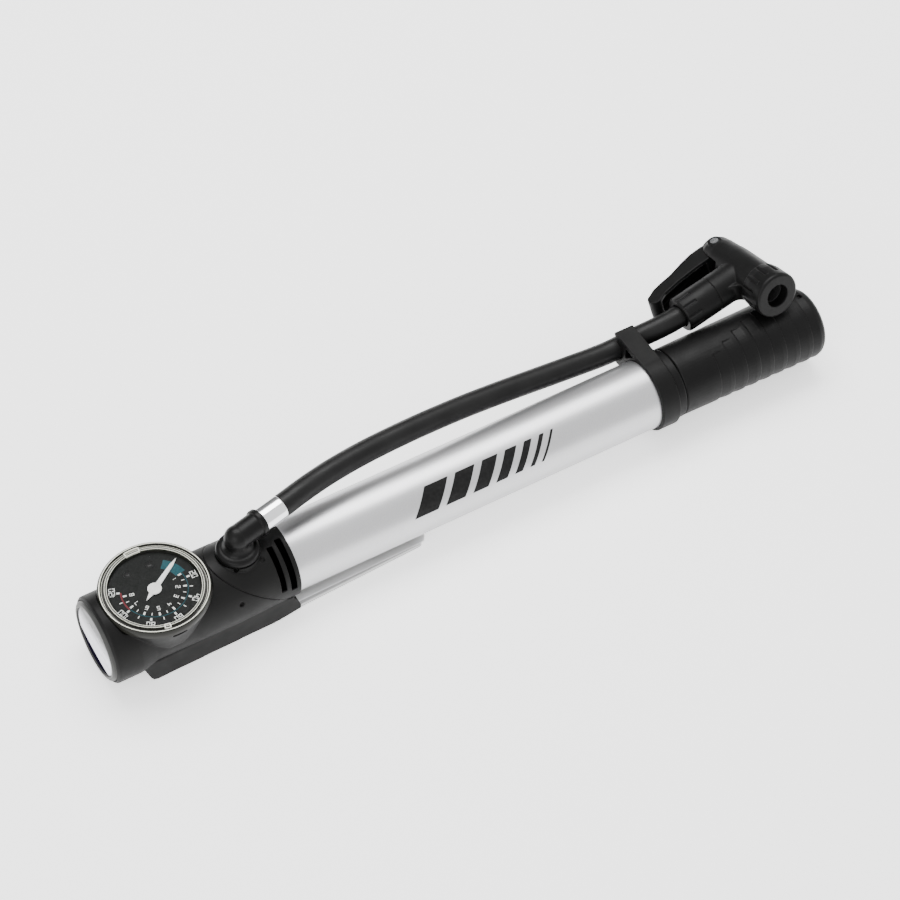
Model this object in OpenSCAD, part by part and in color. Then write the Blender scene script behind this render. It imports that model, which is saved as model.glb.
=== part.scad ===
// Mini floor pump with an inline pressure gauge, a folding foot plate and a thumb-lock hose head.
// The X axis is the barrel's axis, from the base end to the handle. +Z is the side the gauge faces.
// The origin is the centre of the base end, where the pump stands on the floor. Sizes are in millimetres.

/* [Barrel] */
// Outside diameter of the barrel tube
barrel_d = 25; // [24.8:0.1:25.2]
// Wall of the barrel tube
barrel_wall = 1.1; // [0.9:0.1:1.2]
// Where the barrel leaves the base socket, from the base end
socket_end = 68; // [67.5:0.5:69]
// Where the barrel meets the collar, from the base end
collar_start = 210; // [208:1:212]

/* [Base] */
// Diameter of the drum at the base end
drum_d = 30.6; // [30:0.2:31]
// Diameter of the base housing behind the drum
housing_d = 28; // [27.8:0.1:28.4]
// Distance from the base end to the gauge's axis
gauge_x = 21.6; // [21:0.2:22.2]
// Diameter of the gauge lens over its rim
lens_d = 37; // [36.6:0.2:37.4]
// Top of the gauge lens above the barrel's axis
lens_top = 14.9; // [14.8:0.1:15.4]
// Width over the two side rails near the base end
rail_w = 26.8; // [26.4:0.2:27.2]
// Width over the two side rails next to the barrel
rail_tail_w = 24.6; // [24.4:0.2:25]

/* [Foot] */
// Free length of the foot plate from its hinge pin
foot_len = 101.4; // [90:0.2:110]
// Width of the foot plate between the rails
foot_w = 22.6; // [22:0.2:22.8]
// Width of the foot plate at its tip
foot_tip_w = 18.8; // [18:0.2:20]
// Thickness of the foot plate over its edges
foot_t = 1.7; // [1.6:0.1:1.9]

/* [Handle] */
// Length of the handle
handle_len = 59.2; // [56:0.2:61]
// Diameter of the handle next to the barrel
handle_d1 = 25; // [24.6:0.2:25.2]
// Diameter of the handle at its far end
handle_d2 = 26.2; // [25.8:0.2:26.4]
// Number of grip rings on the handle
grip_rings = 8; // [5:1:9]
// Diameter of the piston rod
rod_d = 8; // [7:0.5:8]

/* [Hose] */
// Outside diameter of the hose
hose_d = 8; // [7.6:0.2:8]
// Angle of the elbow away from the barrel's line
elbow_yaw = 13; // [12:0.5:14]

/* [Head] */
// Diameter of the screwed valve cap
cap_d = 16.8; // [16.4:0.2:17]
// Diameter of the hole for the tyre valve
valve_hole_d = 8.5; // [8.2:0.1:8.8]
// Travel of the pusher that squeezes the rubber
lock_travel = 2; // [1.6:0.1:2]

/* [Hidden] */

$fn = 96;

// Colours of the real surfaces
plastic_black = [0.09, 0.09, 0.09];
rubber_black = [0.06, 0.06, 0.06];
silver = [0.82, 0.83, 0.84];
brass_yellow = [0.80, 0.64, 0.30];
steel_grey = [0.62, 0.63, 0.65];

// Clearances: snug parts of one body, running fits, and the gap between bodies
snug = 0.05;
run = 0.05;
gap = 0.3;

// Radii along the barrel
barrel_r = barrel_d / 2;
bore_r = barrel_r - barrel_wall;
drum_r = drum_d / 2;
housing_r = housing_d / 2;
socket_mouth_r = barrel_r + 0.8;
cavity_r = 10.6;
end_cap_r = 14.25;
end_cap_x = 2.6;
cap_proud = 1.1;
barrel_foot_x = 55.8;

// The seam between the base housing and the barrel socket is a plane: x + seam_slope * z = seam_x
seam_x = 57.3;
seam_slope = 1.2;
seam_gap = 0.2;

// Elbow, block and check valve stand on one upright axis
elbow_x = 51.8;
stem_r = 3.5;
stem_bottom = 4.2;
boss_top = 13.6;
elbow_z = 21;
elbow_r = 4.2;
elbow_reach = 8;
flange_t = 2;
ferrule_len = 8.6;
clip_top = 9.3;
clip_disc_t = 0.6;
poppet_seat_z = -2;
poppet_r = 2.4;
poppet_t = 1.2;
air_r = 1.2;
air_z = -6;

// Gauge stack, from the case floor up to the lens window
case_floor_z = 6.6;
dial_z = 12.9;
dial_t = 0.3;
needle_z = 13.45;
pod_top = 11.4;
pod_bore_r = 15.2;
case_r = 15.1;
needle_rest = 33;
needle_len = 14;
needle_tail = 5.2;
pinion_r = 0.9;
sector_r = 5.5;
sector_rest = -20.5;

// Foot plate hinge and its channel in the base
foot_pin_x = 17.8;
foot_pin_z = -13.3;
foot_pin_r = 1;
foot_pin_half = rail_w / 2 - 0.8;
foot_knuckle_r = 1.8;
foot_bottom = foot_pin_z - foot_t;
channel_x = 15.4;
channel_w = foot_w + 0.8;
channel_z = foot_pin_z + 0.2;
rail_bottom = foot_bottom - 0.1;

// Collar and hose clip
collar_end = collar_start + 7.3;
collar_r = 13.75;
clip_y = 17.45;
clip_z = 7;
clip_r = hose_d / 2 + 0.35;
strap_z = 12.1;
strap_t = 1.6;
strap_y = 19.3;

// Gland, rod and piston
gland_end = collar_end + 3.3;
gland_spigot_x = 203;
rod_r = rod_d / 2;
piston_x = 62.2;
piston_len = 7.8;
rod_x0 = piston_x + piston_len;
screw_r = 2;
rod_x1 = 250;

// Handle
handle_x = gland_end + gap;
handle_end = handle_x + handle_len;
handle_bore_r = 9.05;
ring_pitch = 5.5;
ring_first = handle_x + 14.1;
ring_depth = 0.45;
ring_run = 3.6;

// Pump head: the joint of hose line and valve line, its turn, and lengths from that joint
head_at = [262.6, 17.4, 17.5];
head_turn = [-17, -10, 4.7];
head_r = 6.6;
bar_r = 7.5;
socket_len = 28.5;
gland_len = 14;
cap_face = 19.8;
cap_len = 10;
pin_at = 15;
cheek_z = 7;
hub_z = 4.4;
slot_z = 4.7;
knuckle_r = 5.3;
hub_r = 3.9;
hub_offset = 1.4;
lever_pin_r = 1.5;
barb_r = 1.9;

// Route of the hose's centre line, from the elbow's flange to inside the head's gland
hose_path = [
  [61.6, 2.3, 21], [66, 3.3, 21], [71, 4.5, 20.9], [79, 6.7, 20.6], [88, 9, 20], [96, 10.7, 19.3],
  [104, 12.1, 18.5], [113, 13.4, 17.5], [121, 14.4, 16.5], [129, 15.3, 15.4], [138, 16.2, 14.1],
  [146, 16.9, 12.9], [154, 17.4, 11.7], [162, 17.8, 10.5], [170, 18, 9.4], [178, 18.1, 8.4],
  [186, 18.1, 7.5], [194, 18, 6.8], [202, 17.8, 6.3], [208, 17.65, 6.3], [213.6, 17.45, 7],
  [217.8, 17.1, 8], [222, 16.4, 9.2], [226.2, 15.65, 10.45], [230.4, 15.1, 11.65],
  [234.6, 15.1, 12.55], [239, 15.45, 13.35], [243.2, 15.8, 14.1]
];
hose_sides = 12;

// ---------- helpers ----------

// Turns a shape made along Z so that it lies along +X
module along_x() { rotate([0, 90, 0]) children(); }

// A solid of revolution about the X axis from [radius, x] points
module turned_x(points) { along_x() rotate_extrude() polygon(points); }

// A ring about the X axis
module ring_x(x0, x1, outer, inner) {
  turned_x([[inner, x0], [outer, x0], [outer, x1], [inner, x1]]);
}

// A plain rod along X
module rod_x(x0, x1, r, y = 0, z = 0) {
  translate([x0, y, z]) along_x() cylinder(h = x1 - x0, r = r);
}

// An upright rod
module rod_z(x, z0, z1, r, y = 0) { translate([x, y, z0]) cylinder(h = z1 - z0, r = r); }

// A rod along Y
module rod_y(x, z, half, r) {
  translate([x, 0, z]) rotate([90, 0, 0]) cylinder(h = 2 * half, r = r, center = true);
}

// A slice about the X axis between two angles measured from +Z towards +Y, from [radius, x] points
module slice_x(points, from, to) {
  along_x() rotate([0, 0, 180 - to]) rotate_extrude(angle = to - from) polygon(points);
}

// An outline in the YZ plane pushed along X
module slab_x(x0, x1) {
  translate([x0, 0, 0]) rotate([90, 0, 90]) linear_extrude(x1 - x0) children();
}

// An outline in the XZ plane pushed along Y, centred
module slab_y(width) { rotate([90, 0, 0]) linear_extrude(width, center = true) children(); }

// Places a shape made in the head's own frame: X along the hose, -Y towards the valve hole
module in_head() { translate(head_at) rotate(head_turn) children(); }

// A rod in the head's frame along its valve line, from y0 to y1
module rod_valve(y0, y1, r) { translate([0, y1, 0]) rotate([90, 0, 0]) cylinder(h = y1 - y0, r = r); }

// A solid of revolution about the head's valve line from [radius, y] points
module turned_valve(points) { rotate([-90, 0, 0]) rotate_extrude() polygon(points); }

// Places a shape made along X at the elbow's outlet
module in_elbow() { translate([elbow_x, 0, elbow_z]) rotate([0, 0, elbow_yaw]) children(); }

// Sweep of a round section along a route of points
function unit(v) = v / norm(v);
function heading(path, i) =
  unit(path[min(i + 1, len(path) - 1)] - path[max(i - 1, 0)]);
function ring_points(path, i, r, sides) =
  let (t = heading(path, i), side = unit(cross([0, 0, 1], t)), up = cross(t, side))
  [for (k = [0:sides - 1]) path[i] + r * (cos(360 * k / sides) * side + sin(360 * k / sides) * up)];
module swept(path, r, sides) {
  last = len(path) - 1;
  points = [for (i = [0:last]) each ring_points(path, i, r, sides)];
  walls = [for (i = [0:last - 1], k = [0:sides - 1])
    [i * sides + k, i * sides + (k + 1) % sides, (i + 1) * sides + (k + 1) % sides, (i + 1) * sides + k]];
  start_face = [[for (k = [0:sides - 1]) sides - 1 - k]];
  end_face = [[for (k = [0:sides - 1]) last * sides + k]];
  polyhedron(points, [for (f = concat(start_face, walls, end_face)) [for (k = [len(f) - 1:-1:0]) f[k]]]);
}

// ---------- base ----------

// Outer form of the base, shared by the housing and the barrel socket
module base_form(extra = 0) {
  turned_x([
    [0, 0], [drum_r - 0.8, 0], [drum_r, 0.8], [drum_r, 9], [housing_r + extra, 15],
    [housing_r + extra, 46], [socket_mouth_r + extra, socket_end + extra], [0, socket_end + extra]
  ]);
}

// The half-space above the seam plane
module above_seam(shift) {
  size = 120;
  translate([seam_x + shift, 0, 0]) rotate([0, atan(1 / seam_slope) - 90, 0])
    translate([0, -size / 2, -size / 2]) cube([size, size, size]);
}

// Long vent slots and small moulding holes in the barrel socket
module socket_slots() {
  floor_r = barrel_r + 0.25;
  // Each slot: where it starts along X, its width, and its two ends on the gauge side
  for (slot = [[60.6, 2, 13, 86], [64.2, 2.2, 6, 91]]) {
    x1 = slot[0] + slot[1];
    outline = [[floor_r, slot[0]], [drum_r, slot[0]], [drum_r, x1], [floor_r, x1]];
    slice_x(outline, -slot[3], -slot[2]);
    slice_x(outline, 24, 86);
  }
  for (hole = [[48.2, -24], [57.5, -26]])
    rotate([-hole[1], 0, 0]) rod_z(hole[0], 13, 16, 0.85);
}

module base_housing() {
  color(plastic_black)
  difference() {
    union() {
      difference() {
        base_form();
        above_seam(-seam_gap);
      }
      // Pod that carries the gauge
      translate([gauge_x, 0, 0]) cylinder(h = pod_top, r1 = 14.3, r2 = 17.8);
      // Side rails with a sloping front
      difference() {
        intersection() {
          slab_y(rail_w) polygon([
            [10.5, -8.8], [12.1, rail_bottom + 1.9], [12.9, rail_bottom + 0.6], [14.4, rail_bottom],
            [socket_end - 8, rail_bottom], [socket_end + 0.2, rail_bottom + 1.4], [socket_end + 0.2, -12],
            [socket_end - 2.4, -6.8], [socket_end - 2.4, -5.6], [10.5, -5.6]
          ]);
          translate([0, 0, -30]) linear_extrude(30) polygon([
            [10, -rail_w / 2], [socket_end + 1, -rail_tail_w / 2], [socket_end + 1, rail_tail_w / 2],
            [10, rail_w / 2]
          ]);
        }
        intersection() {
          base_form(0.1);
          above_seam(-seam_gap);
        }
      }
    }
    // Recess for the end cap, pocket for the gauge, cavity for the valve block and socket for the barrel
    rod_x(-1, end_cap_x, end_cap_r);
    rod_z(gauge_x, case_floor_z, 30, pod_bore_r);
    rod_z(gauge_x, pod_top, 30, lens_d / 2 + 0.1);
    rod_z(elbow_x, boss_top, 20, 7.5);
    rod_x(foot_pin_x - 1, barrel_foot_x, cavity_r);
    rod_x(barrel_foot_x, socket_end + 1, barrel_r + snug);
    // Channel for the folded foot plate and its knuckle
    translate([channel_x, -channel_w / 2, -30]) cube([80, channel_w, channel_z + 30]);
    translate([channel_x, -channel_w / 2, -30]) cube([5, channel_w, 30 - 11.2]);
    rod_y(foot_pin_x, foot_pin_z, foot_pin_half + 0.1, foot_pin_r + 0.02);
    // Moulding marks on the viewing side
    rotate([72, 0, 0]) rod_z(46, 13, 16, 0.85);
    rotate([60, 0, 0]) translate([19.2, -0.35, 18.6]) cube([5.1, 0.7, 4]);
  }
}

module barrel_socket() {
  color(plastic_black)
  difference() {
    union() {
      difference() {
        intersection() {
          base_form();
          above_seam(0);
        }
        rod_x(foot_pin_x - 1, barrel_foot_x, cavity_r);
      }
      rod_z(elbow_x, clip_top, boss_top, 7.4);
    }
    rod_x(barrel_foot_x, socket_end + 1, barrel_r + snug);
    rod_z(elbow_x, 0, 20, stem_r + run);
    rod_z(elbow_x, boss_top, 20, 7.5);
    socket_slots();
  }
}

module end_cap() {
  color(plastic_black)
  turned_x([
    [0, -0.4], [12.1, -0.4], [12.3, -cap_proud], [13.2, -cap_proud], [13.9, -0.6],
    [end_cap_r - snug, 0.4], [end_cap_r - snug, end_cap_x], [0, end_cap_x]
  ]);
}

module end_badge() {
  color([0.75, 0.75, 0.8])
  turned_x([[0, -1], [7, -0.95], [11.4, -0.75], [12, -0.55], [12, -0.4], [0, -0.4]]);
}

// Block that joins the barrel, the gauge and the hose
module valve_block() {
  color([0.25, 0.25, 0.27])
  difference() {
    union() {
      rod_x(foot_pin_x, barrel_foot_x, cavity_r - 0.1);
      rod_x(barrel_foot_x - 0.1, 60, bore_r - 0.15);
    }
    // Flat under the gauge and lower land around the elbow's stem
    translate([0, -20, case_floor_z - 0.2]) cube([38.2, 40, 20]);
    translate([43, -20, clip_top - clip_disc_t - gap]) cube([56.9 - 43, 40, 20]);
    ring_x(57, 59, 20, 9.6);
    // Stem socket, poppet chamber and seat hole on the elbow's axis
    rod_z(elbow_x, stem_bottom - 0.2, 20, stem_r + run);
    rod_z(elbow_x, poppet_seat_z, stem_bottom, 3);
    rod_z(elbow_x, air_z, stem_bottom, air_r);
    // Air ways from the barrel and to the gauge
    rod_x(elbow_x, 61, air_r, 0, air_z);
    rod_x(gauge_x, elbow_x, 0.9, 0, 2);
    rod_z(gauge_x, 1, 10, 2.55);
  }
}

module block_seal() {
  color(rubber_black) ring_x(57.05, 58.95, bore_r - 0.02, 9.65);
}

module barrel() {
  color(silver) ring_x(barrel_foot_x + 0.1, 214.5, barrel_r, bore_r);
}

// Collar that grips the barrel's top end, with the hose clip moulded on its far side
module collar_clip() {
  color(plastic_black)
  difference() {
    union() {
      turned_x([
        [0, collar_start], [collar_r - 0.35, collar_start], [collar_r, collar_start + 0.35],
        [collar_r, collar_end - 0.35], [collar_r - 0.35, collar_end], [0, collar_end]
      ]);
      difference() {
        // Strap over the hose, wall beside the barrel and lower arm with a turned-down lip
        slab_x(collar_start, collar_end) polygon([
          [0, 12.4], [0, collar_r - 0.1], [4, strap_z + strap_t], [strap_y - 0.5, strap_z + strap_t],
          [strap_y, strap_z + strap_t - 0.5], [strap_y - 0.3, strap_z], [clip_y, strap_z],
          [clip_y, 1.8], [strap_y - 1.3, 1.4], [strap_y - 1, 0.2], [strap_y - 1.8, 0.1], [12, 0.4], [10, 0]
        ]);
        // Hose channel, inclined with the hose and open to the far side
        translate([(collar_start + collar_end) / 2, clip_y, clip_z]) rotate([0, -11, -3]) {
          rod_x(-10, 10, clip_r);
          translate([-10, 0, -clip_r]) cube([20, 10, 2 * clip_r]);
        }
        slab_x(collar_start - 1, collar_end + 1) polygon([[7.3, 11.9], [12, 11.9], [11.7, 7.6]]);
      }
    }
    rod_x(collar_start - 1, 214.6, barrel_r + snug);
    rod_x(214, collar_end + 1, bore_r + 0.05);
  }
}

// Threaded nut that closes the barrel and guides the rod
module gland_nut() {
  color(plastic_black)
  difference() {
    turned_x([
      [0, gland_spigot_x], [bore_r - 0.05, gland_spigot_x], [bore_r - 0.05, collar_end],
      [12.4, collar_end], [12.6, collar_end + 0.4], [12.6, gland_end - 0.4],
      [12.4, gland_end], [0, gland_end]
    ]);
    rod_x(gland_spigot_x - 1, gland_end + 1, rod_r + 0.4);
    rod_x(gland_spigot_x - 1, 212, 6);
    rod_x(gland_end - 2.6, gland_end + 1, 6);
  }
}

module rod_bushing() {
  color([0.35, 0.35, 0.37]) ring_x(gland_spigot_x, 212, 5.95, rod_r + run);
}

module rod_wiper() {
  color(rubber_black) ring_x(gland_end - 2.55, gland_end, 5.95, rod_r + run);
}

// ---------- gauge ----------

module gauge_case() {
  color(plastic_black)
  difference() {
    rod_z(gauge_x, case_floor_z, dial_z, case_r);
    rod_z(gauge_x, case_floor_z + 1, dial_z + 1, case_r - 0.9);
    rod_z(gauge_x, 0, 20, 2.6);
  }
}

module gauge_dial() {
  color([0.06, 0.07, 0.07])
  difference() {
    rod_z(gauge_x, dial_z, dial_z + dial_t, 15);
    rod_z(gauge_x, 0, 20, 0.9);
  }
}

// Clear snap-on lens: window, skirt and two raised rims, with two catch windows in the inner rim
module gauge_lens() {
  r = lens_d / 2;
  color([0.85, 0.87, 0.85, 0.4])
  translate([gauge_x, 0, 0])
  difference() {
    rotate_extrude() polygon([
      [0, 14.2], [pod_bore_r + 0.1, 14.2], [pod_bore_r + 0.1, pod_top + 0.05], [r - 0.4, pod_top + 0.05],
      [r, pod_top + 0.5], [r, lens_top - 0.4], [r - 0.4, lens_top], [r - 1.6, lens_top],
      [r - 1.8, lens_top - 0.9], [r - 2.4, lens_top - 0.9], [r - 2.6, lens_top - 0.1],
      [r - 3.2, lens_top - 0.1], [r - 3.4, lens_top - 0.25], [0, lens_top - 0.25]
    ]);
    for (turn = [90, 258]) rotate([0, 0, turn])
      translate([r - 3.6, -1.6, lens_top - 0.6]) cube([1.3, 3.2, 1]);
  }
}

module gauge_socket() {
  color(brass_yellow)
  difference() {
    union() {
      rod_z(gauge_x, 1, case_floor_z + 1, 2.5);
      translate([gauge_x - 3, -2.5, case_floor_z + 1]) cube([14.6, 5, 1.8]);
    }
    rod_z(gauge_x, 0, case_floor_z + 1.8, 0.8);
  }
}

module bourdon_tube() {
  color(brass_yellow)
  translate([gauge_x, 0, case_floor_z + 2])
  rotate([0, 0, 15]) rotate_extrude(angle = 250) translate([10.6, 0.6]) square([1.6, 2.4], center = true);
}

module movement_plate() {
  color(brass_yellow)
  difference() {
    union() {
      rod_z(gauge_x - 3, 10.8, 11.3, 7);
      for (y = [-1.7, 1.7]) rod_z(gauge_x - 2, case_floor_z + 2.8, 11, 0.7, y);
    }
    rod_z(gauge_x, 8, 14, 0.45);
    rod_z(gauge_x - 6.5, 8, 14, 0.55);
  }
}

module needle_arbor() {
  color(steel_grey) {
    rod_z(gauge_x, 10.6, needle_z, 0.4);
    rod_z(gauge_x, 11.5, 12.1, pinion_r);
  }
}

module sector_gear() {
  color(brass_yellow)
  translate([gauge_x - 6.5, 0, 11.5]) {
    rotate([0, 0, sector_rest - 28]) rotate_extrude(angle = 56) square([sector_r, 0.6]);
    cylinder(h = 0.6, r = 1.2);
    translate([0, 0, -0.8]) cylinder(h = 0.9, r = 0.5);
  }
}

module gauge_needle() {
  color([0.95, 0.95, 0.93])
  translate([gauge_x, 0, needle_z]) rotate([0, 0, needle_rest]) {
    linear_extrude(0.3) polygon([
      [-1.2, 0.95], [-1.2, -0.95], [needle_len - 3, -0.6], [needle_len, 0], [needle_len - 3, 0.6]
    ]);
    linear_extrude(0.3) polygon([[0, 1.3], [-needle_tail, 0], [0, -1.3]]);
    cylinder(h = 0.6, r = 2.1);
  }
}

// ---------- check valve ----------

module check_valve() {
  color(brass_yellow) {
    rod_z(elbow_x, poppet_seat_z + 0.05, poppet_seat_z + poppet_t, poppet_r);
    rod_z(elbow_x, poppet_seat_z + poppet_t - 0.1, poppet_seat_z + poppet_t + 1, 0.9);
  }
}

// Light coil spring, shown as its sleeve of turns
module check_spring() {
  turns = 5;
  z0 = poppet_seat_z + poppet_t;
  pitch = (stem_bottom - 0.1 - z0) / turns;
  color(steel_grey)
  translate([elbow_x, 0, 0]) {
    for (k = [0:turns - 1]) translate([0, 0, z0 + k * pitch])
      rotate_extrude() translate([1.6, 0]) square([0.5, 0.5]);
    for (s = [0, 180]) rotate([0, 0, s]) translate([1.65, -0.2, z0]) cube([0.4, 0.4, turns * pitch]);
  }
}

// ---------- foot ----------

module foot_pin() {
  color(steel_grey) rod_y(foot_pin_x, foot_pin_z, foot_pin_half, foot_pin_r);
}

// Outline of the foot plate from above: straight between the rails, then slightly tapered
module foot_outline(inset) {
  corner_r = 4.5;
  half = foot_w / 2 - inset;
  tip_half = foot_tip_w / 2 - inset;
  tip_x = foot_pin_x + foot_len - inset;
  polygon([
    [foot_pin_x, -half], [socket_end, -half], [tip_x - corner_r, -tip_half], [tip_x, -tip_half + corner_r],
    [tip_x, tip_half - corner_r], [tip_x - corner_r, tip_half], [socket_end, half], [foot_pin_x, half]
  ]);
  for (s = [-1, 1]) translate([tip_x - corner_r, s * (tip_half - corner_r)]) circle(r = corner_r);
}

module foot_plate() {
  edge_w = 1.6;
  skin = 0.8;
  color(silver)
  difference() {
    union() {
      translate([0, 0, foot_bottom]) linear_extrude(foot_t) foot_outline(0);
      rod_y(foot_pin_x, foot_pin_z, foot_w / 2, foot_knuckle_r);
    }
    // Pressed hollow in the underside
    intersection() {
      translate([0, 0, foot_bottom - 1]) linear_extrude(foot_t + 1 - skin) foot_outline(edge_w);
      translate([foot_pin_x + 8, -foot_w, -30]) cube([foot_len, 2 * foot_w, 30]);
    }
    rod_y(foot_pin_x, foot_pin_z, foot_w, foot_pin_r + run);
  }
}

// ---------- plunger ----------

module piston_rod() {
  color(steel_grey)
  difference() {
    rod_x(rod_x0, rod_x1, rod_r);
    rod_x(rod_x0 - 1, rod_x0 + 14, screw_r + 0.02);
    rod_x(rod_x1 - 14, rod_x1 + 1, screw_r + 0.02);
  }
}

module piston() {
  color([0.75, 0.75, 0.72])
  difference() {
    rod_x(piston_x, rod_x0, bore_r - 0.2);
    ring_x(piston_x + 2.3, piston_x + 5.5, bore_r + 1, 9.4);
    rod_x(piston_x - 1, rod_x0 + 1, screw_r + 0.02);
  }
}

module piston_seal() {
  color(rubber_black) ring_x(piston_x + 2.35, piston_x + 5.45, bore_r - 0.04, 9.45);
}

module piston_screw() {
  color(steel_grey) {
    rod_x(piston_x - 1.6, piston_x, 3.4);
    rod_x(piston_x - 0.1, rod_x0 + 12, screw_r);
  }
}

module bump_washer() {
  color(rubber_black) ring_x(rod_x0, rod_x0 + 4, 8, rod_r + 0.02);
}

module handle_core() {
  color([0.2, 0.2, 0.2])
  difference() {
    rod_x(handle_x + 0.4, rod_x1 + 4, handle_bore_r - snug);
    rod_x(handle_x - 1, rod_x1, rod_r + 0.02);
    rod_x(rod_x1 - 1, rod_x1 + 5, screw_r + 0.02);
  }
}

module handle_screw() {
  color(steel_grey) {
    rod_x(rod_x1 - 12, rod_x1 + 4.1, screw_r);
    rod_x(rod_x1 + 4, rod_x1 + 7, 3.8);
  }
}

// Angle at which a grip ring runs out on the smooth back of the handle
function ring_end(i) = 34 - 56 * pow(max(0, (7 - i) / 7), 1.6);

module handle_grip() {
  r1 = handle_d1 / 2;
  r2 = handle_d2 / 2;
  color(plastic_black)
  difference() {
    turned_x([
      [handle_bore_r, handle_x], [r1 - 0.4, handle_x], [r1, handle_x + 0.4], [r2, handle_end - 6],
      [r2 - 0.1, handle_end - 3], [r2 - 0.5, handle_end - 1.6], [r2 - 1.3, handle_end - 0.6],
      [r2 - 2.6, handle_end], [handle_bore_r, handle_end]
    ]);
    // Shingle rings: each step rises again towards the far end
    for (i = [0:grip_rings - 1]) {
      x = ring_first + i * ring_pitch;
      r = r1 + (r2 - r1) * (x - handle_x) / handle_len;
      slice_x([[r - ring_depth, x], [r + 1, x], [r + 1, x + ring_run], [r + 0.03, x + ring_run]],
        -180 - ring_end(i), ring_end(i));
    }
    // Small catch slot near the end
    rotate([-8, 0, 0]) translate([handle_end - 4.6, -0.9, 11.9]) cube([1.2, 1.8, 3]);
  }
}

module handle_plug() {
  color(plastic_black)
  turned_x([[0, handle_end - 7], [handle_bore_r - snug, handle_end - 7],
    [handle_bore_r - snug, handle_end - 0.3], [8.5, handle_end], [0, handle_end]]);
}

// ---------- hose ----------

module hose_elbow() {
  color(plastic_black)
  difference() {
    union() {
      // Stem with a seal groove, swivel disc and dome
      rod_z(elbow_x, stem_bottom, boss_top + gap, stem_r);
      translate([elbow_x, 0, 0]) rotate_extrude() polygon([
        [0, boss_top + 0.2], [6.9, boss_top + 0.2], [7.3, boss_top + 0.7], [7.3, 15.2], [6.9, 16],
        [6.1, 16.4], [5.2, 16.6], [4.7, 17.3], [elbow_r, 18.4], [elbow_r, elbow_z], [0, elbow_z]
      ]);
      translate([elbow_x, 0, elbow_z]) sphere(r = elbow_r + 0.12);
      in_elbow() {
        rod_x(0, elbow_reach, elbow_r);
        turned_x([[0, elbow_reach], [4.6, elbow_reach], [4.8, elbow_reach + 0.3],
          [4.8, elbow_reach + flange_t - 0.3], [4.6, elbow_reach + flange_t], [0, elbow_reach + flange_t]]);
        rod_x(elbow_reach + 1, elbow_reach + flange_t + 7, barb_r);
      }
    }
    translate([elbow_x, 0, 0]) rotate_extrude() {
      translate([2.6, 5.6]) square([2, 1.6]);
      translate([2.7, clip_top - clip_disc_t - 0.1]) square([2, clip_disc_t]);
    }
    rod_z(elbow_x, 0, elbow_z, 1.2);
    in_elbow() rod_x(0, 30, 1.2);
  }
}

module elbow_seal() {
  color(rubber_black)
  translate([elbow_x, 0, 0]) rotate_extrude() translate([2.62, 5.65]) square([0.87, 1.5]);
}

// Retaining ring that keeps the elbow's stem in the base
module elbow_clip() {
  z = clip_top - clip_disc_t - 0.1;
  color(steel_grey)
  translate([elbow_x, 0, z + 0.03]) rotate([0, 0, 200]) rotate_extrude(angle = 320)
    translate([2.75, 0]) square([2.05, clip_disc_t - 0.06]);
}

module hose_ferrule() {
  flare = elbow_reach + flange_t;
  color([0.9, 0.9, 0.92])
  in_elbow() turned_x([
    [hose_d / 2 + 0.08, flare], [4.35, flare], [4.35, flare + ferrule_len - 0.3],
    [4.25, flare + ferrule_len], [hose_d / 2 + 0.08, flare + ferrule_len]
  ]);
}

module hose() {
  color(rubber_black)
  difference() {
    swept(hose_path, hose_d / 2, hose_sides);
    in_elbow() rod_x(0, elbow_reach + flange_t + 7.2, barb_r + 0.05);
    in_head() rod_x(-socket_len - 0.6, -socket_len + 9.3, barb_r + 0.05);
  }
}

// ---------- head ----------

module hose_barb() {
  color(brass_yellow)
  in_head() difference() {
    union() {
      rod_x(-socket_len - 0.2, -socket_len + 9, barb_r);
      rod_x(-socket_len + 8.9, -socket_len + gland_len, 3.4);
    }
    rod_x(-socket_len - 1, -socket_len + gland_len + 1, 1.1);
  }
}

// Fluted nut that clamps the hose in the head
module hose_gland() {
  x0 = -socket_len;
  color(plastic_black)
  in_head() difference() {
    turned_x([
      [0, x0], [head_r - 0.5, x0], [head_r, x0 + 0.7], [head_r, x0 + gland_len], [0, x0 + gland_len]
    ]);
    rod_x(x0 - 1, x0 + 8.9, hose_d / 2 + 0.35);
    rod_x(x0, x0 + gland_len + 1, 3.45);
    for (k = [0:9]) rotate([36 * k, 0, 0]) rod_x(x0 - 1, x0 + 6, 0.7, 0, head_r + 0.25);
  }
}

// Outline of the head seen along the lever pin: the cross bar narrows to the round knuckle
module knuckle_outline() {
  translate([0, pin_at]) circle(r = knuckle_r);
  polygon([
    [-bar_r, -cap_face], [bar_r, -cap_face], [bar_r, 3], [knuckle_r + 1.2, 9], [knuckle_r, pin_at],
    [-knuckle_r, pin_at], [-knuckle_r - 1.2, 9], [-bar_r, 3]
  ]);
}

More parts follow.
